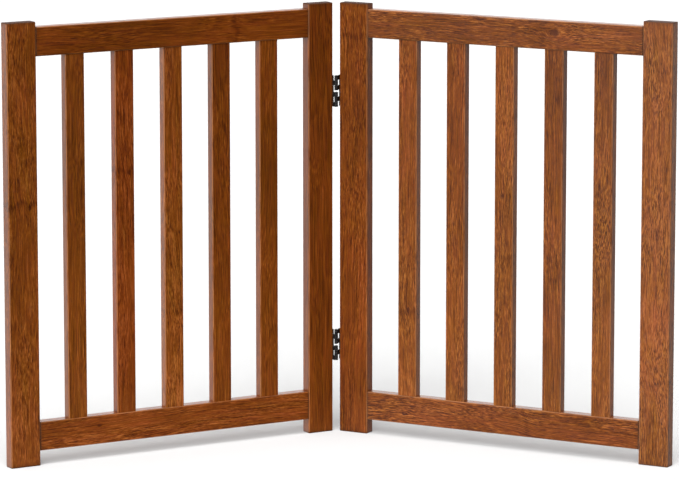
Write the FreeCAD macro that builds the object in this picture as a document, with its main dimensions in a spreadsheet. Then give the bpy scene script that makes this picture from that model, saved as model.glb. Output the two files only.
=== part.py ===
import FreeCAD, Part
import os
import Sketcher

# Free-standing two-panel pet gate. Each panel is a pair of posts joined by a top and a bottom rail
# with five upright slats. Two double-acting hinges join the panels: each hinge has a leaf on either
# post and a link plate between them, with one pin line ahead of the panels and one behind them.
#
# Every sub-part is drawn in its own frame and then placed. Panel frame: X along the panel, Y from
# the front face to the back face, Z up from the floor. Row frame: X across the gate, the folded
# panels open towards -Y, and the origin is the middle of the footprint on the floor.

os.makedirs("parts", exist_ok=True)
doc = FreeCAD.newDocument("pet_gate")

# ---------------------------------------------------------------- driving dimensions (mm, degrees)
DIMENSIONS = (
    ("panel_height", 610.0),
    ("post_width", 44.0),
    ("slim_post_width", 39.0),
    ("post_depth", 18.0),
    ("post_round", 2.0),
    ("post_end_round", 1.2),
    ("rail_length", 420.0),
    ("rail_height", 40.0),
    ("rail_depth", 17.6),
    ("rail_round", 1.8),
    ("rail_end_round", 0.6),
    ("floor_gap", 20.5),
    ("top_drop", 7.2),
    ("slat_width", 28.6),
    ("slat_depth", 14.0),
    ("slat_round", 1.6),
    ("slat_pitch", 74.75),
    ("slat_first_gap", 48.1),
    ("slat_last_gap", 44.3),
    ("tenon_width", 22.6),
    ("tenon_depth", 9.0),
    ("tenon_length", 12.0),
    ("mortise_depth", 12.5),
    ("dowel_radius", 4.0),
    ("dowel_length", 40.0),
    ("dowel_hole_depth", 20.5),
    ("dowel_chamfer", 0.8),
    ("dowel_edge", 10.0),
    ("hinge_height", 44.0),
    ("hinge_end_distance", 124.5),
    ("pin_ahead", 2.9),
    ("pin_aside", 3.5),
    ("barrel_radius", 2.6),
    ("knuckle_height", 6.7),
    ("knuckle_gap", 0.3),
    ("barrel_break", 2.6),
    ("sheet", 1.3),
    ("leaf_depth", 14.0),
    ("neck_width", 1.9),
    ("neck_root", 1.0),
    ("finger_length", 9.6),
    ("pin_radius", 1.25),
    ("running_clearance", 0.05),
    ("pin_overhang", 0.4),
    ("pin_dome", 0.3),
    ("screw_row", 7.5),
    ("screw_spacing", 14.0),
    ("screw_head_radius", 2.8),
    ("screw_radius", 1.5),
    ("screw_length", 13.0),
    ("screw_tip", 2.5),
    ("drive_length", 3.0),
    ("drive_width", 0.6),
    ("drive_depth", 0.7),
    ("fold_half_angle", 29.0),
    ("stand_x", -2.19),
    ("stand_y", 110.65),
)
sheet = doc.addObject("Spreadsheet::Sheet", "dims")
size = {}
for row, (alias, value) in enumerate(DIMENSIONS, start=1):
    sheet.set("A%d" % row, alias)
    sheet.set("B%d" % row, str(value))
    sheet.setAlias("B%d" % row, alias)
    size[alias] = value
doc.recompute()

SLATS_PER_PANEL = 5
HINGES = (("lower", size["hinge_end_distance"]),
          ("upper", size["panel_height"] - size["hinge_end_distance"]))
sub_parts = []


def keep(obj, label, placement):
    """Gives a finished sub-part its name and its place in the gate."""
    obj.Label = label
    obj.Placement = placement
    sub_parts.append(obj)
    return obj


def at(x=0.0, y=0.0, z=0.0, axis=(0, 0, 1), angle=0.0):
    return FreeCAD.Placement(FreeCAD.Vector(x, y, z), FreeCAD.Rotation(FreeCAD.Vector(*axis), angle))


# ---------------------------------------------------------------- sketch and feature helpers
def new_body(name):
    return doc.addObject("PartDesign::Body", name)


def sketch_on(body, name, role, offset="0"):
    """A sketch on one of the body's own origin planes, moved along its normal by an expression."""
    plane = [item for item in body.Origin.OriginFeatures if item.Role == role][0]
    sketch = body.newObject("Sketcher::SketchObject", name)
    sketch.AttachmentSupport = [(plane, "")]
    sketch.MapMode = "FlatFace"
    if offset != "0":
        sketch.setExpression("AttachmentOffset.Base.z", offset)
    return sketch


def bind(sketch, constraint, expression):
    """Adds a dimension to a sketch and drives it from the spreadsheet."""
    index = sketch.addConstraint(constraint)
    name = "size_%d" % index
    sketch.renameConstraint(index, name)
    sketch.setExpression("Constraints." + name, expression)


def draw_rectangle(sketch, left, low, width, height):
    """A rectangle whose corner distance from the origin and two sides are expressions."""
    corners = ((0, 0), (10, 0), (10, 10), (0, 10))
    points = [FreeCAD.Vector(x + 1, y + 1, 0) for x, y in corners]
    first = sketch.GeometryCount
    for i in range(4):
        sketch.addGeometry(Part.LineSegment(points[i], points[(i + 1) % 4]), False)
    for i in range(4):
        ahead = first + (i + 1) % 4
        sketch.addConstraint(Sketcher.Constraint("Coincident", first + i, 2, ahead, 1))
    for i, way in enumerate(("Horizontal", "Vertical", "Horizontal", "Vertical")):
        sketch.addConstraint(Sketcher.Constraint(way, first + i))
    bind(sketch, Sketcher.Constraint("DistanceX", first, 1, first, 2, 10.0), width)
    bind(sketch, Sketcher.Constraint("DistanceY", first + 1, 1, first + 1, 2, 10.0), height)
    if left == "0":
        sketch.addConstraint(Sketcher.Constraint("PointOnObject", first, 1, -2))
    else:
        bind(sketch, Sketcher.Constraint("DistanceX", -1, 1, first, 1, 1.0), left)
    if low == "0":
        sketch.addConstraint(Sketcher.Constraint("PointOnObject", first, 1, -1))
    else:
        bind(sketch, Sketcher.Constraint("DistanceY", -1, 1, first, 1, 1.0), low)


def draw_circle(sketch, across, up, radius):
    """A circle whose centre and radius are expressions."""
    here = sketch.GeometryCount
    sketch.addGeometry(Part.Circle(FreeCAD.Vector(5, 5, 0), FreeCAD.Vector(0, 0, 1), 2.0), False)
    bind(sketch, Sketcher.Constraint("DistanceX", -1, 1, here, 3, 5.0), across)
    bind(sketch, Sketcher.Constraint("DistanceY", -1, 1, here, 3, 5.0), up)
    bind(sketch, Sketcher.Constraint("Radius", here, 2.0), radius)


def pad(body, sketch, name, length, reverse=False):
    feature = body.newObject("PartDesign::Pad", name)
    feature.Profile = sketch
    feature.setExpression("Length", length)
    feature.Reversed = reverse
    doc.recompute()
    return feature


def pocket(body, sketch, name, depth, reverse=False):
    """A pocket that must take material away, or the build stops."""
    before = body.Shape.Volume
    feature = body.newObject("PartDesign::Pocket", name)
    feature.Profile = sketch
    feature.setExpression("Length", depth)
    feature.Reversed = reverse
    doc.recompute()
    if feature.Shape.Volume > before - 1.0:
        raise RuntimeError("pocket %s cuts nothing" % name)
    return feature


def round_edges(body, base, name, radius, chosen):
    """Fillets the edges of the base feature that the chosen test picks."""
    names = ["Edge%d" % (i + 1) for i, edge in enumerate(base.Shape.Edges) if chosen(edge)]
    feature = body.newObject("PartDesign::Fillet", name)
    feature.Base = (base, names)
    feature.setExpression("Radius", radius)
    doc.recompute()
    return feature


def along(direction):
    """A test for straight edges parallel to a direction."""
    def test(edge):
        if edge.Curve.TypeId != "Part::GeomLine":
            return False
        return abs(edge.Curve.Direction.dot(direction)) > 0.999
    return test


def in_plane(axis_name, value):
    """A test for edges that lie wholly at one value of x, y or z."""
    def test(edge):
        box = edge.BoundBox
        low = getattr(box, axis_name + "Min")
        high = getattr(box, axis_name + "Max")
        return abs(low - value) < 1e-4 and abs(high - value) < 1e-4
    return test


X_WAY = FreeCAD.Vector(1, 0, 0)
Z_WAY = FreeCAD.Vector(0, 0, 1)
RAIL_DOWEL_HEIGHTS = ("dims.floor_gap + dims.dowel_edge",
                      "dims.floor_gap + dims.rail_height - dims.dowel_edge",
                      "dims.panel_height - dims.top_drop - dims.rail_height + dims.dowel_edge",
                      "dims.panel_height - dims.top_drop - dims.dowel_edge")


# ---------------------------------------------------------------- wooden pieces
def make_post(name, width, rails_on_high_side, screw_row):
    """An upright post with dowel holes for the rails and, on a hinge post, screw holes."""
    body = new_body(name)
    base = sketch_on(body, name + "_section", "XY_Plane")
    draw_rectangle(base, "0", "0", width, "dims.post_depth")
    solid = pad(body, base, name + "_blank", "dims.panel_height")
    solid = round_edges(body, solid, name + "_long_edges", "dims.post_round", along(Z_WAY))

    def end_edge(edge):
        return in_plane("Z", 0.0)(edge) or in_plane("Z", size["panel_height"])(edge)

    round_edges(body, solid, name + "_end_edges", "dims.post_end_round", end_edge)

    rail_face = width if rails_on_high_side else "0"
    holes = sketch_on(body, name + "_dowel_marks", "YZ_Plane", rail_face)
    for height in RAIL_DOWEL_HEIGHTS:
        draw_circle(holes, "dims.post_depth / 2", height, "dims.dowel_radius")
    pocket(body, holes, name + "_dowel_holes", "dims.dowel_hole_depth", not rails_on_high_side)

    if screw_row:
        hinge_face = "0" if rails_on_high_side else width
        holes = sketch_on(body, name + "_screw_marks", "YZ_Plane", hinge_face)
        for middle in ("dims.hinge_end_distance", "dims.panel_height - dims.hinge_end_distance"):
            for step in ("- dims.screw_spacing", "", "+ dims.screw_spacing"):
                draw_circle(holes, screw_row, middle + step, "dims.screw_radius")
        depth = "dims.screw_length - dims.sheet + dims.screw_tip"
        pocket(body, holes, name + "_screw_holes", depth, rails_on_high_side)
    return body


def make_rail(name, mortises_on_top, first_mortise):
    """A horizontal rail with dowel holes in both ends and a row of mortises in one edge."""
    body = new_body(name)
    base = sketch_on(body, name + "_section", "YZ_Plane")
    draw_rectangle(base, "0", "0", "dims.rail_depth", "dims.rail_height")
    solid = pad(body, base, name + "_blank", "dims.rail_length")
    solid = round_edges(body, solid, name + "_long_edges", "dims.rail_round", along(X_WAY))

    def end_edge(edge):
        return in_plane("X", 0.0)(edge) or in_plane("X", size["rail_length"])(edge)

    round_edges(body, solid, name + "_end_edges", "dims.rail_end_round", end_edge)

    for end, face, reverse in (("low", "0", True), ("high", "dims.rail_length", False)):
        holes = sketch_on(body, "%s_%s_dowel_marks" % (name, end), "YZ_Plane", face)
        for height in ("dims.dowel_edge", "dims.rail_height - dims.dowel_edge"):
            draw_circle(holes, "dims.rail_depth / 2", height, "dims.dowel_radius")
        pocket(body, holes, "%s_%s_dowel_holes" % (name, end), "dims.dowel_hole_depth", reverse)

    face = "dims.rail_height" if mortises_on_top else "0"
    marks = sketch_on(body, name + "_mortise_mark", "XY_Plane", face)
    left = first_mortise + " + (dims.slat_width - dims.tenon_width) / 2"
    low = "(dims.rail_depth - dims.tenon_depth) / 2"
    draw_rectangle(marks, left, low, "dims.tenon_width", "dims.tenon_depth")
    cut = pocket(body, marks, name + "_mortise", "dims.mortise_depth", not mortises_on_top)
    before = body.Shape.Volume
    row = body.newObject("PartDesign::LinearPattern", name + "_mortise_row")
    row.Originals = [cut]
    row.Direction = (marks, ["H_Axis"])
    row.Occurrences = SLATS_PER_PANEL
    row.setExpression("Length", "dims.slat_pitch * %d" % (SLATS_PER_PANEL - 1))
    body.Tip = row
    doc.recompute()
    if body.Shape.Volume > before - 1.0:
        raise RuntimeError("mortise row of %s cuts nothing" % name)
    return body


def make_slat(name):
    """An upright slat with a shouldered tenon at each end."""
    height = "dims.panel_height - dims.top_drop - dims.floor_gap - 2 * dims.rail_height"
    body = new_body(name)
    base = sketch_on(body, name + "_section", "XY_Plane")
    draw_rectangle(base, "0", "0", "dims.slat_width", "dims.slat_depth")
    solid = pad(body, base, name + "_blank", height)
    round_edges(body, solid, name + "_long_edges", "dims.slat_round", along(Z_WAY))
    for end, face, reverse in (("low", "0", True), ("high", height, False)):
        mark = sketch_on(body, "%s_%s_tenon_mark" % (name, end), "XY_Plane", face)
        draw_rectangle(mark, "(dims.slat_width - dims.tenon_width) / 2",
                       "(dims.slat_depth - dims.tenon_depth) / 2",
                       "dims.tenon_width", "dims.tenon_depth")
        pad(body, mark, "%s_%s_tenon" % (name, end), "dims.tenon_length", reverse)
    return body


def make_dowels(name, joint_lines):
    """The wooden dowels of one panel: two through each of its four rail-to-post joints."""
    dowels = []
    for joint_line in joint_lines:
        for height in RAIL_DOWEL_HEIGHTS:
            rod = doc.addObject("Part::Cylinder", "%s_rod_%d" % (name, len(dowels) + 1))
            rod.setExpression("Radius", "dims.dowel_radius")
            rod.setExpression("Height", "dims.dowel_length")
            rod.Placement = at(0, 0, 0, (0, 1, 0), 90)
            rod.setExpression("Placement.Base.x", joint_line + " - dims.dowel_length / 2")
            rod.setExpression("Placement.Base.y", "dims.post_depth / 2")
            rod.setExpression("Placement.Base.z", height)
            doc.recompute()
            eased = doc.addObject("Part::Chamfer", "%s_dowel_%d" % (name, len(dowels) + 1))
            eased.Base = rod
            rims = [i + 1 for i, edge in enumerate(rod.Shape.Edges)
                    if edge.Curve.TypeId == "Part::GeomCircle"]
            eased.Edges = [(i, size["dowel_chamfer"], size["dowel_chamfer"]) for i in rims]
            dowels.append(eased)
    group = doc.addObject("Part::Compound", name)
    group.Links = dowels
    doc.recompute()
    return group


# ---------------------------------------------------------------- hinge pieces
# Hinge frame: Z along the pin, the pin line ahead of the panels on the Z axis, X across the gap
# between the posts, and Y from the front of the panels to the back.
def knuckle_bottoms(numbers):
    """Heights of the chosen knuckles, as expressions; knuckle 0 is the lowest of the six."""
    bottoms = []
    for number in numbers:
        rise = "-dims.hinge_height / 2 + %d * (dims.knuckle_height + dims.knuckle_gap)" % number
        if number >= 3:
            rise += " + dims.barrel_break - dims.knuckle_gap"
        bottoms.append(rise)
    return bottoms


LEAF_KNUCKLES = (0, 2, 4)
LINK_KNUCKLES = (1, 3, 5)


def box(name, low, sides):
    """A box with its low corner and its sides given as expressions."""
    solid = doc.addObject("Part::Box", name)
    for way, value in zip("xyz", low):
        solid.setExpression("Placement.Base." + way, value)
    for way, value in zip(("Length", "Width", "Height"), sides):
        solid.setExpression(way, value)
    return solid


def upright(name, radius, height, x, y, z):
    """A cylinder standing along Z."""
    solid = doc.addObject("Part::Cylinder", name)
    solid.setExpression("Radius", radius)
    solid.setExpression("Height", height)
    for way, value in zip("xyz", (x, y, z)):
        solid.setExpression("Placement.Base." + way, value)
    return solid


def fuse(name, pieces):
    whole = doc.addObject("Part::MultiFuse", name)
    whole.Shapes = pieces
    whole.Refine = True
    doc.recompute()
    return whole


def cut_away(name, base, tools):
    removed = tools[0] if len(tools) == 1 else fuse(name + "_tools", tools)
    result = doc.addObject("Part::Cut", name)
    result.Base = base
    result.Tool = removed
    doc.recompute()
    return result


def make_leaf(name):
    """A leaf for the left post, with three knuckles on the front pin line.

    Turned half a turn about Z it becomes the leaf for the right post, on the back pin line.
    """
    pieces = [box(name + "_plate", ("-dims.pin_aside", "dims.pin_ahead", "-dims.hinge_height / 2"),
                  ("dims.sheet", "dims.leaf_depth", "dims.hinge_height"))]
    for i, bottom in enumerate(knuckle_bottoms(LEAF_KNUCKLES)):
        pieces.append(box("%s_neck_%d" % (name, i), ("-dims.pin_aside", "0", bottom),
                          ("dims.neck_width", "dims.pin_ahead + dims.neck_root", "dims.knuckle_height")))
        pieces.append(upright("%s_knuckle_%d" % (name, i), "dims.barrel_radius",
                              "dims.knuckle_height", "0", "0", bottom))
    whole = fuse(name + "_blank", pieces)
    tools = [upright(name + "_bore", "dims.pin_radius + dims.running_clearance",
                     "dims.hinge_height + 2", "0", "0", "-dims.hinge_height / 2 - 1")]
    for i in (-1, 0, 1):
        hole = doc.addObject("Part::Cone", "%s_countersink_%d" % (name, i + 2))
        hole.setExpression("Radius1", "dims.screw_radius")
        hole.setExpression("Radius2", "dims.screw_head_radius")
        hole.setExpression("Height", "dims.sheet")
        hole.Placement = at(0, 0, 0, (0, 1, 0), 90)
        hole.setExpression("Placement.Base.x", "-dims.pin_aside")
        hole.setExpression("Placement.Base.y", "dims.pin_ahead + dims.screw_row")
        hole.setExpression("Placement.Base.z", "dims.screw_spacing * %d" % i)
        tools.append(hole)
    return cut_away(name, whole, tools)


def make_link(name):
    """The link plate: a narrow web with three fingers to each pin line."""
    span = "(2 * dims.pin_ahead + dims.post_depth)"
    pieces = [box(name + "_web", ("-dims.sheet / 2", "dims.finger_length", "-dims.hinge_height / 2"),
                  ("dims.sheet", span + " - 2 * dims.finger_length", "dims.hinge_height"))]
    sides = (("front", "0", "0"),
             ("back", span, span + " - dims.finger_length - 1"))
    for side, pin_line, finger_start in sides:
        for i, bottom in enumerate(knuckle_bottoms(LINK_KNUCKLES)):
            pieces.append(box("%s_%s_finger_%d" % (name, side, i),
                              ("-dims.sheet / 2", finger_start, bottom),
                              ("dims.sheet", "dims.finger_length + 1", "dims.knuckle_height")))
            pieces.append(upright("%s_%s_knuckle_%d" % (name, side, i), "dims.barrel_radius",
                                  "dims.knuckle_height", "0", pin_line, bottom))
    whole = fuse(name + "_blank", pieces)
    tools = [upright("%s_%s_bore" % (name, side), "dims.pin_radius", "dims.hinge_height + 2",
                     "0", pin_line, "-dims.hinge_height / 2 - 1")
             for side, pin_line, _ in sides]
    return cut_away(name, whole, tools)


def make_pins(name):
    """The two short pins of one pin line, one below and one above the break in the barrel."""
    reach = "(3 * dims.knuckle_height + 2 * dims.knuckle_gap)"
    pins = []
    for half, bottom in (("lower", "-dims.hinge_height / 2"), ("upper", "dims.barrel_break / 2")):
        rod = upright("%s_%s_rod" % (name, half), "dims.pin_radius",
                      reach + " + 2 * dims.pin_overhang", "0", "0", bottom + " - dims.pin_overhang")
        doc.recompute()
        domed = doc.addObject("Part::Fillet", "%s_%s" % (name, half))
        domed.Base = rod
        rims = [i + 1 for i, edge in enumerate(rod.Shape.Edges)
                if edge.Curve.TypeId == "Part::GeomCircle"]
        domed.Edges = [(i, size["pin_dome"], size["pin_dome"]) for i in rims]
        pins.append(domed)
    group = doc.addObject("Part::Compound", name)
    group.Links = pins
    doc.recompute()
    return group


def make_screws(name):
    """The three countersunk wood screws of the left leaf, driven along -X into the post."""
    screws = []
    for i in (-1, 0, 1):
        stem = "%s_%d" % (name, i + 2)
        head = doc.addObject("Part::Cone", stem + "_head")
        head.setExpression("Radius1", "dims.screw_radius")
        head.setExpression("Radius2", "dims.screw_head_radius")
        head.setExpression("Height", "dims.sheet")
        shank = doc.addObject("Part::Cylinder", stem + "_shank")
        shank.setExpression("Radius", "dims.screw_radius")
        shank.setExpression("Height", "dims.screw_length - dims.sheet")
        shank.setExpression("Placement.Base.z", "dims.sheet - dims.screw_length")
        tip = doc.addObject("Part::Cone", stem + "_tip")
        tip.Radius1 = 0.0
        tip.setExpression("Radius2", "dims.screw_radius")
        tip.setExpression("Height", "dims.screw_tip")
        tip.setExpression("Placement.Base.z", "dims.sheet - dims.screw_length - dims.screw_tip")
        solid = fuse(stem + "_solid", [head, shank, tip])
        slots = [box(stem + "_slot_a", ("-dims.drive_length / 2", "-dims.drive_width / 2",
                                        "dims.sheet - dims.drive_depth"),
                     ("dims.drive_length", "dims.drive_width", "dims.sheet")),
                 box(stem + "_slot_b", ("-dims.drive_width / 2", "-dims.drive_length / 2",
                                        "dims.sheet - dims.drive_depth"),
                     ("dims.drive_width", "dims.drive_length", "dims.sheet"))]
        screw = cut_away(stem, solid, slots)
        screw.Placement = at(0, 0, 0, (0, 1, 0), 90)
        screw.setExpression("Placement.Base.x", "-dims.pin_aside")
        screw.setExpression("Placement.Base.y", "dims.pin_ahead + dims.screw_row")
        screw.setExpression("Placement.Base.z", "dims.screw_spacing * %d" % i)
        screws.append(screw)
    group = doc.addObject("Part::Compound", name)
    group.Links = screws
    doc.recompute()
    return group


# ---------------------------------------------------------------- placing the two panels
stand = at(size["stand_x"], size["stand_y"])
left_turn = stand * at(angle=size["fold_half_angle"])
right_turn = stand * at(angle=-size["fold_half_angle"])
left_length = size["post_width"] + size["rail_length"] + size["slim_post_width"]
left_panel = left_turn * at(-size["pin_aside"] - left_length, size["pin_ahead"])
right_panel = right_turn * at(size["pin_aside"], size["pin_ahead"])

rail_set_back = (size["post_depth"] - size["rail_depth"]) / 2
slat_set_back = (size["post_depth"] - size["slat_depth"]) / 2
top_rail_low = size["panel_height"] - size["top_drop"] - size["rail_height"]
slat_low = size["floor_gap"] + size["rail_height"]

PANELS = (
    # name, panel frame, width at the low end, width at the high end, low end is the hinge end
    ("left", left_panel, "dims.post_width", "dims.slim_post_width", False),
    ("right", right_panel, "dims.post_width", "dims.post_width", True),
)
for side, panel, low_width, high_width, hinge_low in PANELS:
    low_width_mm = size[low_width.split(".")[1]]
    high_post_at = low_width_mm + size["rail_length"]
    low_name, high_name = ("hinge_post", "outer_post") if hinge_low else ("outer_post", "hinge_post")
    screw_row = "dims.screw_row" if side == "left" else "dims.post_depth - dims.screw_row"

    low_post = make_post("%s_%s" % (side, low_name), low_width, True, screw_row if hinge_low else None)
    keep(low_post, "%s_%s" % (side, low_name), panel)
    high_post = make_post("%s_%s" % (side, high_name), high_width, False,
                          None if hinge_low else screw_row)
    keep(high_post, "%s_%s" % (side, high_name), panel * at(high_post_at))

    first_gap = "dims.slat_first_gap" if hinge_low else "dims.slat_last_gap"
    bottom_rail = make_rail(side + "_bottom_rail", True, first_gap)
    keep(bottom_rail, side + "_bottom_rail",
         panel * at(low_width_mm, rail_set_back, size["floor_gap"]))
    top_rail = make_rail(side + "_top_rail", False, first_gap)
    keep(top_rail, side + "_top_rail", panel * at(low_width_mm, rail_set_back, top_rail_low))

    first_slat_at = low_width_mm + size[first_gap.split(".")[1]]
    for i in range(SLATS_PER_PANEL):
        slat_name = "%s_slat_%d" % (side, i + 1)
        slat_at = first_slat_at + i * size["slat_pitch"]
        keep(make_slat(slat_name), slat_name, panel * at(slat_at, slat_set_back, slat_low))

    joint_lines = (low_width, low_width + " + dims.rail_length")
    keep(make_dowels(side + "_dowels", joint_lines), side + "_dowels", panel)

# ---------------------------------------------------------------- placing the hinges
pin_span = 2 * size["pin_ahead"] + size["post_depth"]
for level, height in HINGES:
    left_hinge = left_turn * at(z=height)
    link_hinge = right_turn * at(z=height)
    # Half a turn about Z swaps the two pin lines, which carries the left leaf over to the right post.
    right_hinge = right_turn * at(0, pin_span, height, (0, 0, 1), 180)

    keep(make_leaf(level + "_hinge_left_leaf"), level + "_hinge_left_leaf", left_hinge)
    keep(make_screws(level + "_hinge_left_screws"), level + "_hinge_left_screws", left_hinge)
    keep(make_link(level + "_hinge_link"), level + "_hinge_link", link_hinge)
    keep(make_pins(level + "_hinge_front_pins"), level + "_hinge_front_pins", link_hinge)
    keep(make_pins(level + "_hinge_back_pins"), level + "_hinge_back_pins",
         right_turn * at(0, pin_span, height))
    keep(make_leaf(level + "_hinge_right_leaf"), level + "_hinge_right_leaf", right_hinge)
    keep(make_screws(level + "_hinge_right_screws"), level + "_hinge_right_screws", right_hinge)

# ---------------------------------------------------------------- checks and export
doc.recompute()
for obj in doc.Objects:
    if "Invalid" in obj.State or "Error" in obj.State:
        raise RuntimeError("object %s did not recompute: %s" % (obj.Name, obj.State))
for obj in sub_parts:
    if obj.Shape.isNull() or not obj.Shape.isValid():
        raise RuntimeError("sub-part %s has no valid shape" % obj.Label)
    obj.Shape.exportStep("parts/%s.step" % obj.Label)

whole = Part.makeCompound([obj.Shape for obj in sub_parts]).BoundBox
print("sub-parts: %d" % len(sub_parts))
print("box: x %.3f to %.3f, y %.3f to %.3f, z %.3f to %.3f"
      % (whole.XMin, whole.XMax, whole.YMin, whole.YMax, whole.ZMin, whole.ZMax))
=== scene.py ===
import math

import bpy
from mathutils import Matrix, Vector

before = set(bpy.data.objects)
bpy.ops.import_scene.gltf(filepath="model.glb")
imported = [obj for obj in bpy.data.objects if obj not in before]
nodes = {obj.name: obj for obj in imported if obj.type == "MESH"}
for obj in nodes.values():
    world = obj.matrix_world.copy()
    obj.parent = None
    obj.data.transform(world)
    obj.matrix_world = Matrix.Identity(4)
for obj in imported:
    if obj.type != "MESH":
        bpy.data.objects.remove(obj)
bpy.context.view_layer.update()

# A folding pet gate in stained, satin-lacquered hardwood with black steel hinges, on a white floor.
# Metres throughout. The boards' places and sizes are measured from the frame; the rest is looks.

MM = 0.001
FOLD_HALF_ANGLE = math.radians(29)
PANEL_TURN = {"left": FOLD_HALF_ANGLE, "right": -FOLD_HALF_ANGLE}


# ---------------------------------------------------------------- node helpers
class Tree:
    """Short calls for making and joining nodes in one node tree."""

    def __init__(self, tree):
        self.tree = tree

    def node(self, kind, **settings):
        made = self.tree.nodes.new(kind)
        for name, value in settings.items():
            setattr(made, name, value)
        return made

    def put(self, socket, value):
        """Joins a socket to another, or sets it to a plain value."""
        if isinstance(value, bpy.types.NodeSocket):
            self.tree.links.new(value, socket)
        else:
            socket.default_value = value

    def math(self, operation, a, b=0.0, c=0.0, clamp=False):
        made = self.node("ShaderNodeMath", operation=operation, use_clamp=clamp)
        for socket, value in zip(made.inputs, (a, b, c)):
            self.put(socket, value)
        return made.outputs[0]

    def total(self, first, *others):
        for other in others:
            first = self.math("ADD", first, other)
        return first

    def product(self, first, *others):
        for other in others:
            first = self.math("MULTIPLY", first, other)
        return first

    def share(self, noise, amount):
        """A noise about 0.5 turned into one about nought, amount from end to end."""
        return self.math("MULTIPLY", self.math("SUBTRACT", noise, 0.5), amount)

    def vector(self, operation, a, b=(0.0, 0.0, 0.0)):
        made = self.node("ShaderNodeVectorMath", operation=operation)
        self.put(made.inputs[0], a)
        if made.inputs[1].enabled:
            self.put(made.inputs[1], b)
        return made.outputs["Value" if operation in ("LENGTH", "DOT_PRODUCT") else "Vector"]

    def split(self, vector):
        made = self.node("ShaderNodeSeparateXYZ")
        self.put(made.inputs[0], vector)
        return made.outputs

    def join(self, x, y, z):
        made = self.node("ShaderNodeCombineXYZ")
        for socket, value in zip(made.inputs, (x, y, z)):
            self.put(socket, value)
        return made.outputs[0]

    def ramp(self, value, low, high, out_low=0.0, out_high=1.0):
        """A smooth step of value from low to high."""
        made = self.node("ShaderNodeMapRange", interpolation_type="SMOOTHSTEP")
        for name, v in (("Value", value), ("From Min", low), ("From Max", high),
                        ("To Min", out_low), ("To Max", out_high)):
            self.put(made.inputs[name], v)
        return made.outputs["Result"]

    def noise(self, vector, scale, detail, roughness, output="Fac"):
        made = self.node("ShaderNodeTexNoise", noise_dimensions="3D")
        for name, v in (("Vector", vector), ("Scale", scale), ("Detail", detail), ("Roughness", roughness)):
            self.put(made.inputs[name], v)
        return made.outputs[output]

    def mix(self, factor, a, b, blend="MIX"):
        made = self.node("ShaderNodeMix", data_type="RGBA", blend_type=blend)
        self.put(made.inputs["Factor"], factor)
        self.put(made.inputs["A"], a)
        self.put(made.inputs["B"], b)
        return made.outputs["Result"]

    def colours(self, factor, stops):
        """A colour band with the given (place, colour) stops."""
        made = self.node("ShaderNodeValToRGB")
        band = made.color_ramp
        while len(band.elements) < len(stops):
            band.elements.new(0.5)
        for element, (place, colour) in zip(band.elements, stops):
            element.position = place
            element.color = (*colour, 1.0)
        self.put(made.inputs["Fac"], factor)
        return made.outputs["Color"]

    def bump(self, height, distance):
        made = self.node("ShaderNodeBump")
        self.put(made.inputs["Height"], height)
        made.inputs["Distance"].default_value = distance
        made.inputs["Strength"].default_value = 1.0
        return made.outputs["Normal"]


def new_material(name):
    material = bpy.data.materials.new(name)
    material.use_nodes = True
    tree = Tree(material.node_tree)
    shader = material.node_tree.nodes["Principled BSDF"]
    return material, tree, shader


def new_group(name, inputs, outputs):
    """An empty node group with the given (name, kind) sockets."""
    group = bpy.data.node_groups.new(name, "ShaderNodeTree")
    for in_out, sockets in (("INPUT", inputs), ("OUTPUT", outputs)):
        for socket, kind in sockets:
            group.interface.new_socket(name=socket, in_out=in_out, socket_type="NodeSocket" + kind)
    tree = Tree(group)
    given = tree.node("NodeGroupInput").outputs
    result = tree.node("NodeGroupOutput").inputs
    return group, tree, given, result


def white(level):
    return (level, level, level, 1.0)


# ---------------------------------------------------------------- stained wood
# The group works in a board's own frame: origin at its middle, X across the face, Y through the
# thickness with the face at -Y, Z along the grain.
WOOD_DARKEST = (0.066, 0.0132, 0.0013)
WOOD_DARK = (0.100, 0.0215, 0.0018)
WOOD_DEEP = (0.145, 0.0335, 0.0024)
WOOD_MID = (0.190, 0.0475, 0.0034)
WOOD_WARM = (0.238, 0.0640, 0.0052)
WOOD_PALE = (0.310, 0.0940, 0.0120)
WOOD_PALEST = (0.400, 0.1360, 0.0260)
# Pale worn wood on the arrises, also used as a painted highlight along the edges.
WORN_EDGE_AND_HIGHLIGHT = (0.480, 0.2100, 0.0800)
PORE_STAIN = (0.040, 0.0090, 0.0020)
KNOT_HEART = (0.050, 0.0085, 0.0020)
# Dark stain soaked into the end grain; the same colour also serves as painted shade towards the ends of each
# board.
END_STAIN_AND_SHADE = (0.028, 0.0070, 0.0015)
RED_STAIN = (1.05, 0.82, 1.05, 1.0)
GOLD_STAIN = (0.98, 1.08, 0.92, 1.0)


# How fine each feature of the wood is, in waves per metre across the grain and along it.
SLOW_BENDS = (8.0, 2.4)
SHORT_BENDS = (22.0, 9.0)
RAGGED_BAND = (60.0, 18.0)
DASHES = (1900.0, 170.0)
FLECKS = (1600.0, 40.0)
FIGURE_PATCHES = (46.0, 6.0)
FIBRES = (1300.0, 10.0)
STREAKS = (260.0, 7.0)
PORES = (1350.0, 150.0)
BLOTCHES = (42.0, 17.0)
CLOUDS = (11.0, 5.0)
RUBBED_AND_HIGHLIT_PATCHES = (70.0, 26.0)

RING_WIDTH = 4.6 * MM
LACQUER_ROUGHNESS = 0.37
LACQUER_IOR = 1.45
GRAIN_RELIEF = 0.07 * MM


def wood_noise(tree, place, fineness, detail=1.0, roughness=0.5, output="Fac"):
    across, along = fineness
    return tree.noise(tree.vector("MULTIPLY", place, (across, across, along)), 1.0, detail, roughness, output)


def wander(tree, wood, fineness, reach):
    """A sideways shift of the grain, up to half of reach either way."""
    noise = wood_noise(tree, wood, fineness, roughness=0.4, output="Color")
    return tree.vector("MULTIPLY", tree.vector("SUBTRACT", noise, (0.5, 0.5, 0.5)), (reach, reach, 0.0))


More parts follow.
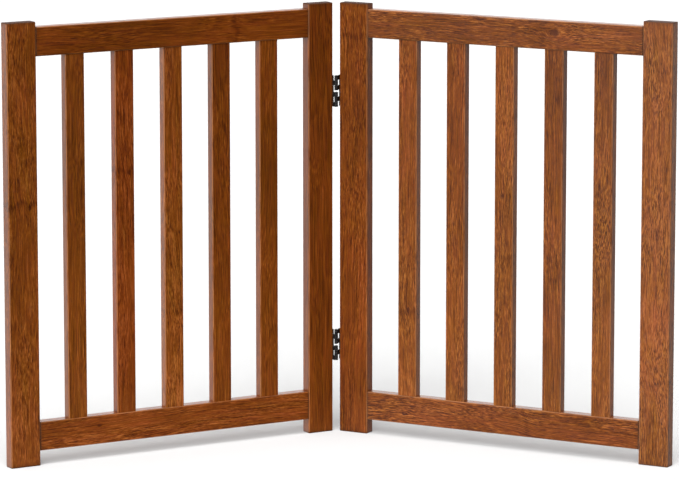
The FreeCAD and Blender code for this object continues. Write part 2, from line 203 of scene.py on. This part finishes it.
def knot_shape(tree, place, given):
    """The distance from the knot in knot sizes, the swelling round it, and its sideways push."""
    aside, _, along = tree.split(tree.vector("SUBTRACT", place, given["Knot"]))
    long_oval = tree.join(aside, 0.0, tree.math("MULTIPLY", along, 0.55))
    distance = tree.vector("LENGTH", long_oval)
    knot_share = tree.math("DIVIDE", distance, given["Knot size"])
    swell = tree.math("EXPONENT", tree.product(knot_share, knot_share, -0.22))
    side = tree.math("DIVIDE", aside, tree.math("ADD", distance, 1.5 * MM))
    push = tree.product(swell, side, given["Knot size"], -1.1)
    return knot_share, swell, push


def growth_band(tree, along, wood, given):
    """A growth band crosses the board: its mask, where the stain is darker, and the grain's kink."""
    ragged = wood_noise(tree, wood, RAGGED_BAND, 2.0, 0.6)
    past_band = tree.math("ADD", tree.math("SUBTRACT", along, given["Band"]), tree.share(ragged, 26 * MM))
    band = tree.ramp(tree.math("ABSOLUTE", past_band), 6 * MM, 0.6 * MM)
    kink = tree.math("MULTIPLY", tree.ramp(past_band, -22 * MM, 22 * MM), 5 * MM)
    return band, kink


def late_wood_mask(tree, grain):
    """The dark part of each growth ring; the rings lean a little along the board."""
    x, y, z = tree.split(grain)
    lean = tree.math("MULTIPLY", z, 0.02)
    radius = tree.math("ADD", tree.vector("LENGTH", tree.join(x, y, 0.0)), lean)
    ring = tree.math("FRACT", tree.math("DIVIDE", radius, RING_WIDTH))
    return tree.math("MULTIPLY", tree.ramp(ring, 0.35, 0.90), tree.ramp(ring, 1.0, 0.90))


def edge_marks(tree, place, wood, given):
    """Masks of the worn arrises, which also paint highlights along them, the painted shade towards the
    board's ends, and the end grain.
    """
    inset = tree.vector("SUBTRACT", given["Half size"], tree.vector("ABSOLUTE", place))
    in_x, in_y, in_z = tree.split(inset)
    nearest = tree.math("MINIMUM", in_x, in_y)
    farther = tree.math("MAXIMUM", in_x, in_y)
    arris = tree.math("MAXIMUM", nearest, tree.math("MINIMUM", farther, in_z))
    # The arrises are pale where worn, in patches, and this also paints highlights along the edges.
    rubbing_and_highlight = wood_noise(tree, wood, RUBBED_AND_HIGHLIT_PATCHES, 3.0, 0.6)
    worn_and_highlit = tree.math("MULTIPLY", tree.ramp(arris, 1.5 * MM, 0.5 * MM), tree.ramp(rubbing_and_highlight, 0.26, 0.58))
    # Painted shade: each board darkens towards its ends, up to 0.35 of the way to the dark end colour.
    end_shade = tree.ramp(in_z, 7.0 * MM, 0.0, 0.0, 0.35)
    end_grain = tree.ramp(in_z, 1.7 * MM, 0.5 * MM)
    return worn_and_highlit, end_shade, end_grain


def make_wood_group():
    group, tree, given, result = new_group(
        "stained_board",
        (("Place", "Vector"), ("Half size", "Vector"), ("Pith", "Vector"), ("Tone", "Float"),
         ("Redness", "Float"), ("Figure", "Float"), ("Fade", "Float"), ("Knot", "Vector"),
         ("Knot size", "Float"), ("Band", "Float")),
        (("Colour", "Color"), ("Roughness", "Float"), ("Height", "Float")))
    place = given["Place"]
    along = tree.split(place)[2]
    wood = tree.vector("ADD", place, given["Pith"])

    # The grain wanders in slow bends and short ones, swells round the knot and kinks at the band.
    knot_share, swell, push = knot_shape(tree, place, given)
    band, kink = growth_band(tree, along, wood, given)
    grain = tree.vector("ADD", wood, wander(tree, wood, SLOW_BENDS, 30 * MM))
    grain = tree.vector("ADD", grain, wander(tree, wood, SHORT_BENDS, 9 * MM))
    grain = tree.vector("ADD", grain, tree.join(tree.math("ADD", push, kink), 0.0, 0.0))
    late_wood = late_wood_mask(tree, grain)

    # Dashes, flecks and fibres of the grain, fine open pores, and the blotches of the stain.
    dash = wood_noise(tree, grain, DASHES)
    fleck = wood_noise(tree, grain, FLECKS)
    patch = wood_noise(tree, grain, FIGURE_PATCHES)
    fibre = wood_noise(tree, grain, FIBRES)
    streak = wood_noise(tree, grain, STREAKS, 2.0, 0.6)
    pores = tree.ramp(wood_noise(tree, grain, PORES), 0.58, 0.70)
    blotch = wood_noise(tree, wood, BLOTCHES, 3.0, 0.6)
    cloud = wood_noise(tree, wood, CLOUDS)

    figure = tree.math("ADD", tree.share(dash, 2.4), tree.share(fleck, 3.0))
    figure = tree.product(figure, tree.ramp(patch, 0.36, 0.62, 0.45, 1.30), given["Figure"])
    fade = tree.math("MULTIPLY", along, given["Fade"])
    tone = tree.total(given["Tone"], figure, fade, tree.share(fibre, 2.3), tree.share(streak, 0.45),
                      tree.share(blotch, 0.30), tree.share(cloud, 0.70))
    for dark_part, depth in ((late_wood, 0.08), (band, 0.30), (swell, 0.10)):
        tone = tree.math("SUBTRACT", tone, tree.math("MULTIPLY", dark_part, depth))
    shade = tree.math("MULTIPLY_ADD", tone, 0.70, 0.15)
    colour = tree.colours(shade, ((0.0, WOOD_DARKEST), (0.15, WOOD_DARK), (0.325, WOOD_DEEP), (0.5, WOOD_MID),
                                  (0.675, WOOD_WARM), (0.85, WOOD_PALE), (1.0, WOOD_PALEST)))
    red = tree.total(given["Redness"], tree.share(cloud, 0.8), tree.share(blotch, 1.1))
    red = tree.math("ADD", red, tree.share(streak, 1.2), clamp=True)
    colour = tree.mix(1.0, colour, tree.mix(red, GOLD_STAIN, RED_STAIN), "MULTIPLY")
    colour = tree.mix(tree.math("MULTIPLY", pores, 0.25), colour, (*PORE_STAIN, 1.0))
    heart = tree.ramp(knot_share, 1.0, 0.35)
    colour = tree.mix(tree.math("MULTIPLY", heart, 0.70), colour, (*KNOT_HEART, 1.0))

    # The arrises are worn pale, which also paints highlights along them; the end grain has soaked up more
    # stain, and painted shade darkens each board towards its ends.
    worn_and_highlit, end_shade, end_grain = edge_marks(tree, place, wood, given)
    # Pale worn arrises, which also serve as painted highlights.
    colour = tree.mix(tree.math("MULTIPLY", worn_and_highlit, 0.60), colour, (*WORN_EDGE_AND_HIGHLIGHT, 1.0))
    end_stain_and_shade_colour = tree.mix(tree.math("MULTIPLY", late_wood, 0.6), (*END_STAIN_AND_SHADE, 1.0), (*WOOD_DARK, 1.0))
    end_stain_and_shade_colour = tree.mix(tree.math("MULTIPLY", pores, 0.8), end_stain_and_shade_colour, (*KNOT_HEART, 1.0))
    end_stain_and_shade = tree.math("MAXIMUM", end_shade, tree.math("MULTIPLY", end_grain, 0.92))
    # Painted shade towards the board's ends, together with the real stain of the end grain.
    colour = tree.mix(end_stain_and_shade, colour, end_stain_and_shade_colour)

    roughness = tree.total(LACQUER_ROUGHNESS, tree.share(streak, 0.20), tree.share(blotch, 0.16),
                           tree.math("MULTIPLY", pores, 0.15), tree.math("MULTIPLY", worn_and_highlit, 0.08),
                           tree.math("MULTIPLY", end_grain, 0.60))
    height = tree.math("ADD", tree.math("MULTIPLY", dash, 0.60), tree.math("MULTIPLY", streak, 0.80))
    for hollow, depth in ((pores, 0.60), (heart, 0.80)):
        height = tree.math("SUBTRACT", height, tree.math("MULTIPLY", hollow, depth))
    tree.put(result["Colour"], colour)
    tree.put(result["Roughness"], roughness)
    tree.put(result["Height"], height)
    return group


def board_box(node, turn):
    """The middle and half size of a board, measured square to its panel."""
    unturn = Matrix.Rotation(-turn, 3, "Z")
    places = [unturn @ vertex.co for vertex in node.data.vertices]
    low = Vector([min(place[i] for place in places) for i in range(3)])
    high = Vector([max(place[i] for place in places) for i in range(3)])
    return (low + high) / 2, (high - low) / 2


def board_material(name, tone, fade, redness, figure, gloss, knot, band, seed):
    """Stained wood cut for one board, with the grain along its length."""
    node = nodes[name]
    turn = PANEL_TURN[name.split("_")[0]]
    middle, half = board_box(node, turn)
    material, tree, shader = new_material("wood_" + name)

    place = tree.node("ShaderNodeMapping", vector_type="POINT")
    tree.put(place.inputs["Vector"], tree.node("ShaderNodeTexCoord").outputs["Object"])
    place.inputs["Rotation"].default_value = (0.0, 0.0, -turn)
    place.inputs["Location"].default_value = -middle
    vector = place.outputs["Vector"]
    if half.x > half.z:
        x, y, z = tree.split(vector)
        vector = tree.join(z, y, x)
        half = Vector((half.z, half.y, half.x))

    board = tree.node("ShaderNodeGroup", node_tree=wood_group)
    given = board.inputs
    tree.put(given["Place"], vector)
    given["Half size"].default_value = half
    pith_angle = seed * 2.4
    pith_distance = (55 + 13 * (seed % 5)) * MM
    given["Pith"].default_value = (pith_distance * math.cos(pith_angle),
                                   pith_distance * math.sin(pith_angle), 1.7 * seed)
    given["Tone"].default_value = tone
    given["Fade"].default_value = -fade
    given["Redness"].default_value = redness
    given["Figure"].default_value = figure
    across, along, size = knot
    given["Knot"].default_value = (across * MM, 0.0, along * MM)
    given["Knot size"].default_value = size * MM
    given["Band"].default_value = band * MM
    tree.put(shader.inputs["Base Color"], board.outputs["Colour"])
    tree.put(shader.inputs["Roughness"], board.outputs["Roughness"])
    tree.put(shader.inputs["Normal"], tree.bump(board.outputs["Height"], GRAIN_RELIEF))
    shader.inputs["IOR"].default_value = LACQUER_IOR
    shader.inputs["Specular IOR Level"].default_value = gloss
    shader.inputs["Coat Weight"].default_value = 0.04
    shader.inputs["Coat Roughness"].default_value = 0.25
    return material


# Knots are (across, along, size) and growth bands (along), in millimetres from the middle of the
# board; nowhere is far beyond its end.
NOWHERE = 9000
NO_KNOT = (0, NOWHERE, 3)
BOARDS = (
    # board, tone, fade per metre, redness, figure, gloss, knot, growth band
    ("left_outer_post", 0.55, 0.10, 0.50, 0.80, 0.42, (10, 52, 3), 58),
    ("left_hinge_post", 0.32, 0.20, 0.45, 0.20, 0.36, NO_KNOT, NOWHERE),
    ("left_top_rail", 0.38, 0.00, 0.55, 0.35, 0.32, NO_KNOT, 95),
    ("left_bottom_rail", 0.47, 0.00, 0.65, 0.75, 0.36, (6, -120, 3), NOWHERE),
    ("left_slat_1", 0.51, 0.40, 0.35, 0.35, 0.42, NO_KNOT, NOWHERE),
    ("left_slat_2", 0.39, 0.10, 0.80, 0.60, 0.32, (7, 84, 3), 86),
    ("left_slat_3", 0.61, 0.60, 0.45, 0.90, 0.42, (8, -6, 2), -115),
    ("left_slat_4", 0.37, 0.40, 0.45, 0.35, 0.38, NO_KNOT, NOWHERE),
    ("left_slat_5", 0.47, 0.30, 0.45, 0.25, 0.34, NO_KNOT, NOWHERE),
    ("right_hinge_post", 0.48, -0.30, 0.60, 0.55, 0.25, NO_KNOT, 260),
    ("right_outer_post", 0.66, 0.00, 0.40, 1.60, 0.75, NO_KNOT, -190),
    ("right_top_rail", 0.48, 0.00, 0.45, 1.20, 0.60, (4, 78, 7), 60),
    ("right_bottom_rail", 0.46, 0.00, 0.55, 1.30, 0.50, (-6, -150, 3), 38),
    ("right_slat_1", 0.61, 0.50, 0.45, 1.05, 0.50, (2, -128, 3), -132),
    ("right_slat_2", 0.50, 0.60, 0.35, 0.85, 0.50, NO_KNOT, NOWHERE),
    ("right_slat_3", 0.59, 0.10, 0.30, 1.15, 0.50, (-2, 44, 4), NOWHERE),
    ("right_slat_4", 0.44, 0.30, 0.30, 0.75, 0.60, NO_KNOT, NOWHERE),
    ("right_slat_5", 0.54, 0.40, 0.30, 1.10, 0.65, NO_KNOT, NOWHERE),
)
wood_group = make_wood_group()
for seed, board in enumerate(BOARDS, start=1):
    nodes[board[0]].data.materials[0] = board_material(*board, seed)


# ---------------------------------------------------------------- plain dowels
def make_dowel_wood():
    material, tree, shader = new_material("plain_dowel_wood")
    place = tree.node("ShaderNodeTexCoord").outputs["Object"]
    fibre = tree.noise(tree.vector("MULTIPLY", place, (40.0, 500.0, 500.0)), 1.0, 3.0, 0.6)
    colour = tree.colours(fibre, ((0.3, (0.42, 0.27, 0.14)), (0.7, (0.62, 0.44, 0.26))))
    tree.put(shader.inputs["Base Color"], colour)
    tree.put(shader.inputs["Roughness"], tree.ramp(fibre, 0.3, 0.7, 0.55, 0.72))
    tree.put(shader.inputs["Normal"], tree.bump(fibre, 0.08 * MM))
    return material


# ---------------------------------------------------------------- hinge steel
def edge_mask(tree, radius):
    """Up to one on the edges of a metal piece, within about the radius, and nought on its flats."""
    bevel = tree.node("ShaderNodeBevel", samples=6)
    bevel.inputs["Radius"].default_value = radius
    normal = tree.node("ShaderNodeNewGeometry").outputs["Normal"]
    likeness = tree.vector("DOT_PRODUCT", bevel.outputs["Normal"], normal)
    return tree.ramp(likeness, 0.985, 0.90)


def make_black_steel():
    """Black baked paint, with fine orange peel and bare steel where the edges have rubbed."""
    material, tree, shader = new_material("black_painted_steel")
    place = tree.node("ShaderNodeTexCoord").outputs["Object"]
    peel = tree.noise(place, 1500.0, 2.0, 0.5)
    dust = tree.noise(place, 260.0, 4.0, 0.65)
    scratch = tree.noise(tree.vector("MULTIPLY", place, (900.0, 900.0, 60.0)), 1.0, 2.0, 0.5)
    rubbed = tree.math("MULTIPLY", edge_mask(tree, 0.35 * MM), tree.ramp(dust, 0.42, 0.66))
    colour = tree.colours(dust, ((0.3, (0.006, 0.006, 0.007)), (0.75, (0.020, 0.019, 0.019))))
    colour = tree.mix(tree.math("MULTIPLY", rubbed, 0.55), colour, (0.16, 0.15, 0.145, 1.0))
    roughness = tree.ramp(dust, 0.25, 0.75, 0.22, 0.38)
    roughness = tree.math("ADD", roughness, tree.ramp(scratch, 0.66, 0.74, 0.0, 0.12))
    tree.put(shader.inputs["Base Color"], colour)
    tree.put(shader.inputs["Roughness"], roughness)
    tree.put(shader.inputs["Metallic"], tree.math("MULTIPLY", rubbed, 0.8))
    tree.put(shader.inputs["Normal"], tree.bump(peel, 0.03 * MM))
    return material


def make_pin_steel():
    """Dark oiled pins with turning marks round them."""
    material, tree, shader = new_material("dark_pin_steel")
    place = tree.node("ShaderNodeTexCoord").outputs["Object"]
    turning = tree.noise(tree.vector("MULTIPLY", place, (120.0, 120.0, 4200.0)), 1.0, 2.0, 0.5)
    stain = tree.noise(place, 420.0, 3.0, 0.6)
    colour = tree.colours(stain, ((0.3, (0.045, 0.044, 0.043)), (0.75, (0.13, 0.125, 0.12))))
    tree.put(shader.inputs["Base Color"], colour)
    tree.put(shader.inputs["Roughness"], tree.ramp(stain, 0.3, 0.7, 0.26, 0.42))
    tree.put(shader.inputs["Normal"], tree.bump(turning, 0.02 * MM))
    shader.inputs["Metallic"].default_value = 1.0
    return material


def make_screw_steel():
    """Black-oxide screws, paler on the rims where the driver has rubbed them."""
    material, tree, shader = new_material("black_screw_steel")
    place = tree.node("ShaderNodeTexCoord").outputs["Object"]
    stain = tree.noise(place, 700.0, 3.0, 0.6)
    rubbed = tree.math("MULTIPLY", edge_mask(tree, 0.25 * MM), tree.ramp(stain, 0.40, 0.60))
    colour = tree.colours(stain, ((0.3, (0.030, 0.029, 0.028)), (0.75, (0.080, 0.076, 0.072))))
    colour = tree.mix(rubbed, colour, (0.34, 0.33, 0.31, 1.0))
    tree.put(shader.inputs["Base Color"], colour)
    tree.put(shader.inputs["Roughness"], tree.ramp(stain, 0.3, 0.7, 0.32, 0.48))
    tree.put(shader.inputs["Normal"], tree.bump(stain, 0.02 * MM))
    shader.inputs["Metallic"].default_value = 1.0
    return material


finishes = {
    "plain_wood": make_dowel_wood(),
    "black_metal": make_black_steel(),
    "pin_steel": make_pin_steel(),
    "screw_steel": make_screw_steel(),
}
for node in nodes.values():
    slot = node.data.materials[0].name
    if slot in finishes:
        node.data.materials[0] = finishes[slot]


# ---------------------------------------------------------------- floor, light and camera
FLOOR_ALBEDO = 0.465
ROOM_LEVEL = 0.49
PALE_CORNER_LEVEL = 0.92
BACK_WALL_LEVEL = 1.91
BACKDROP_LEVEL = 1.1

CAMERA_LENS = 234.3
CAMERA_PLACE = (-0.0702, -6.0168, 1.3164)
CAMERA_DIP = math.radians(9.6464)
CAMERA_TURN = math.radians(-0.6793)


def make_floor():
    """A white floor that is only looked at: what lights the gate from below is the room.

    It has two softboxes of its own in front, that throw the close dark shadow under the rails.
    """
    bpy.ops.mesh.primitive_plane_add(size=60.0)
    floor = bpy.context.object
    floor.name = "floor"
    material, _, shader = new_material("white_floor")
    shader.inputs["Base Color"].default_value = white(FLOOR_ALBEDO)
    shader.inputs["Roughness"].default_value = 0.9
    shader.inputs["Specular IOR Level"].default_value = 0.0
    floor.data.materials.append(material)
    floor.visible_diffuse = False
    floor.visible_glossy = False
    floor.visible_shadow = False
    floor_only = bpy.data.collections.new("floor_only")
    floor_only.objects.link(floor)
    for name, elevation, spread, strength in (("floor_high", 74, 40, 1.9), ("floor_low", 38, 50, 2.2)):
        lamp = softbox(name, -4, elevation, spread, strength)
        lamp.light_linking.receiver_collection = floor_only


def towards(azimuth, elevation):
    """The direction of that azimuth, 0 in front of the gate and 90 to its right, in degrees."""
    turn, lift = math.radians(azimuth), math.radians(elevation)
    return Vector((math.sin(turn) * math.cos(lift), -math.cos(turn) * math.cos(lift), math.sin(lift)))


def place_lamp(name, lamp):
    holder = bpy.data.objects.new(name, lamp)
    bpy.context.scene.collection.objects.link(holder)
    return holder


def softbox(name, azimuth, elevation, spread, strength):
    """A round soft lamp far off, spread degrees across, so that it lights all the floor alike."""
    lamp = bpy.data.lights.new(name, "SUN")
    lamp.angle = math.radians(spread)
    lamp.energy = strength
    holder = place_lamp(name, lamp)
    holder.rotation_euler = towards(azimuth, elevation).to_track_quat("Z", "Y").to_euler()
    return holder


def floor_glow(name, place, turn, strength):
    """Light thrown up by the floor at the foot of a panel. It faces up, so it leaves the floor alone."""
    lamp = bpy.data.lights.new(name, "AREA")
    lamp.shape = "RECTANGLE"
    lamp.size = 0.62
    lamp.size_y = 0.30
    lamp.energy = strength * math.pi * lamp.size * lamp.size_y
    holder = place_lamp(name, lamp)
    holder.location = (*place, 2 * MM)
    holder.rotation_euler = (math.pi, 0.0, math.radians(turn))
    holder.visible_camera = False
    holder.visible_glossy = False


def room_patch(tree, way, centre, outer, inner, outside, inside):
    """A round patch of the room about a direction, which fades between two angles from it."""
    nearness = tree.vector("DOT_PRODUCT", way, towards(*centre))
    outer_edge, inner_edge = math.cos(math.radians(outer)), math.cos(math.radians(inner))
    return tree.ramp(nearness, outer_edge, inner_edge, outside, inside)


def make_room():
    """A grey room, dark low in front, paler on the left, with a bright wall behind."""
    world = bpy.data.worlds.new("studio")
    bpy.context.scene.world = world
    world.use_nodes = True
    tree = Tree(world.node_tree)
    shader = world.node_tree.nodes["Background"]
    way = tree.node("ShaderNodeTexCoord").outputs["Generated"]
    _, y, z = tree.split(way)
    grey = room_patch(tree, way, (12, -12), 78, 62, ROOM_LEVEL, 0.0)
    pale = room_patch(tree, way, (-122, -4), 54, 41, 0.0, PALE_CORNER_LEVEL)
    wall = tree.product(tree.ramp(y, 0.62, 0.90), tree.ramp(z, 0.60, 0.30), tree.ramp(z, -0.02, 0.06),
                        BACK_WALL_LEVEL)
    level = tree.math("ADD", grey, tree.math("MAXIMUM", pale, wall))
    seen = tree.node("ShaderNodeLightPath").outputs["Is Camera Ray"]
    backdrop = tree.math("MULTIPLY", seen, BACKDROP_LEVEL)
    tree.put(shader.inputs["Strength"], tree.math("MAXIMUM", level, backdrop))
    shader.inputs["Color"].default_value = white(1.0)


def make_camera():
    camera = bpy.data.cameras.new("camera")
    holder = bpy.data.objects.new("camera", camera)
    bpy.context.scene.collection.objects.link(holder)
    camera.sensor_width = 36.0
    camera.lens = CAMERA_LENS
    camera.clip_end = 100.0
    holder.location = CAMERA_PLACE
    holder.rotation_euler = (math.radians(90) - CAMERA_DIP, 0.0, CAMERA_TURN)
    bpy.context.scene.camera = holder


make_floor()
make_room()
softbox("key", -15, 28, 60, 3.58)
softbox("top", 0, 78, 50, 1.10)
floor_glow("left_glow", (-0.165, -0.135), 29, 0.50)
make_camera()
bpy.context.scene.view_settings.view_transform = "Standard"
